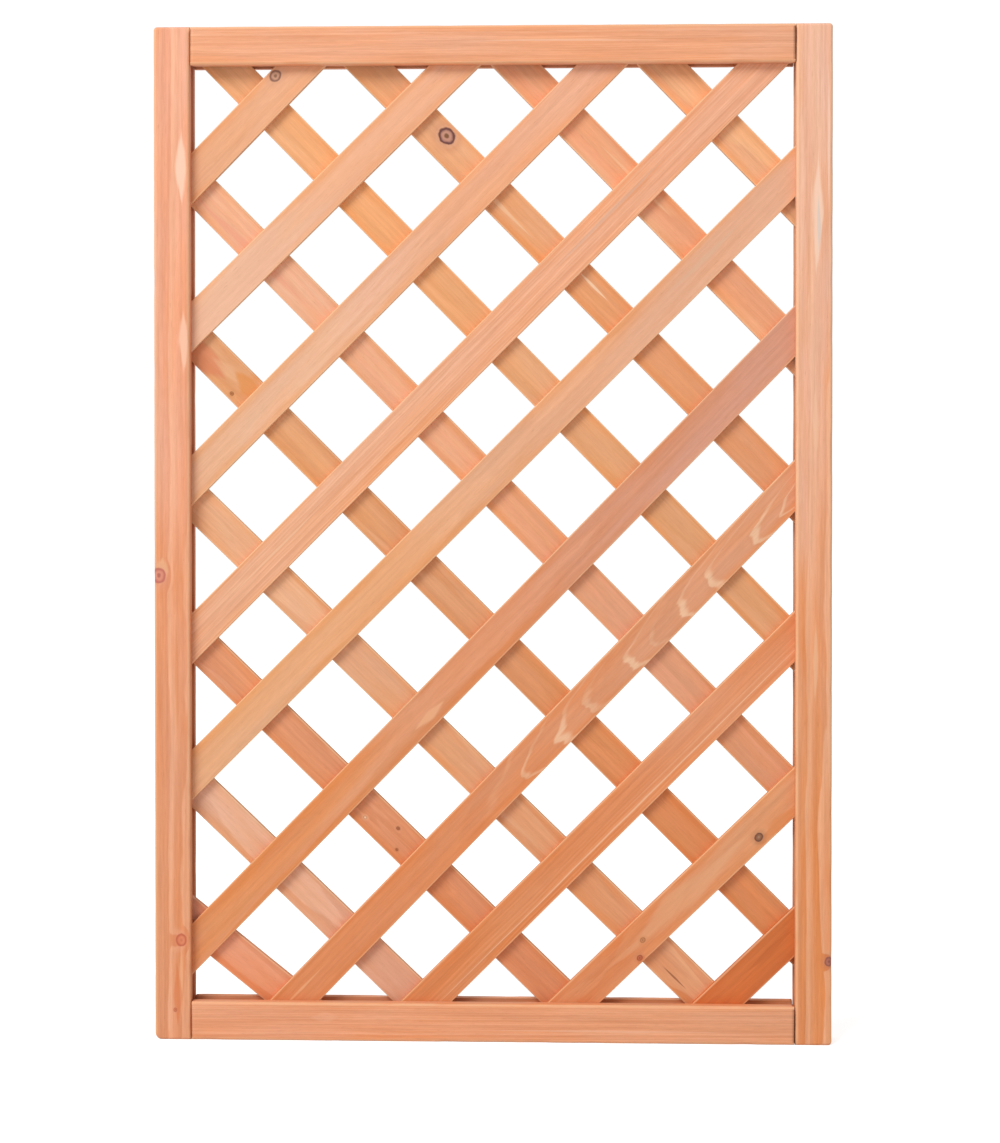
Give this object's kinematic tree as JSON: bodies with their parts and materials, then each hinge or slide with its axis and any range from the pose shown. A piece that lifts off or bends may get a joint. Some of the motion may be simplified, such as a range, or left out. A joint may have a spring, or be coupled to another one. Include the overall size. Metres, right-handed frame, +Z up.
{
  "type": "framed diagonal lattice panel",
  "caption": "Flat rectangular garden lattice panel: two crossed layers of diagonal wooden slats held in the grooves of a softwood frame.",
  "frame": {"origin": "middle of the panel's underside, midway through its depth", "axes": "+X to the viewer's right, +Z up, the front with the rising slats faces -Y"},
  "size_m": [0.6, 0.03, 0.9],
  "materials": {
    "frame_wood": "orange-stained planed softwood, matt",
    "slat_wood": "orange-stained thin softwood, matt",
    "staple_wire": "galvanised wire",
    "screw_steel": "yellow-passivated steel"
  },
  "bodies": {
    "root": {"left_stile": "frame_wood", "right_stile": "frame_wood", "bottom_rail": "frame_wood", "top_rail": "frame_wood", "front_slat_01": "slat_wood", "front_slat_02": "slat_wood", "front_slat_03": "slat_wood", "front_slat_04": "slat_wood", "front_slat_05": "slat_wood", "front_slat_06": "slat_wood", "front_slat_07": "slat_wood", "front_slat_08": "slat_wood", "front_slat_09": "slat_wood", "front_slat_10": "slat_wood", "back_slat_01": "slat_wood", "back_slat_02": "slat_wood", "back_slat_03": "slat_wood", "back_slat_04": "slat_wood", "back_slat_05": "slat_wood", "back_slat_06": "slat_wood", "back_slat_07": "slat_wood", "back_slat_08": "slat_wood", "back_slat_09": "slat_wood", "back_slat_10": "slat_wood", "crossing_staples": "staple_wire", "corner_screws": "screw_steel"}
  },
  "joints": []
}
